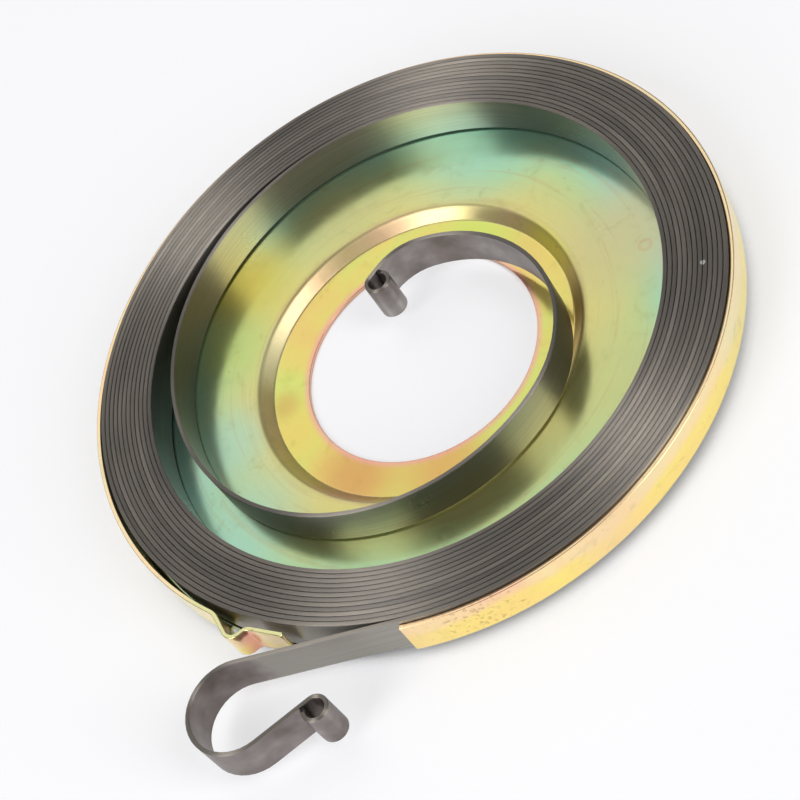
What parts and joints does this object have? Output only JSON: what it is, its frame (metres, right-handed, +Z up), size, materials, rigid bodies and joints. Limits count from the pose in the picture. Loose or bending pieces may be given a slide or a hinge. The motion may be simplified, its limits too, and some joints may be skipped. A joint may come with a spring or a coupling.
{
  "type": "recoil starter spring",
  "caption": "Flat spiral spring wound in a round pressed steel case, with a rolled eye over the hub hole and a hooked outer end with an eye.",
  "frame": {"origin": "on the axis of the hub hole, in the plane that the hub ring rests on", "axes": "+Z up the case's axis towards its open side; the hook and its eye lie towards -X and -Y"},
  "size_m": [0.0851, 0.08, 0.0074],
  "materials": {
    "plated_sheet": "yellow zinc plating with faint colour bands, semi-gloss",
    "spring_strip": "dark tempered strip, semi-gloss with dull edges"
  },
  "bodies": {
    "root": {"spring_case": "plated_sheet", "recoil_spring": "spring_strip"}
  },
  "joints": []
}
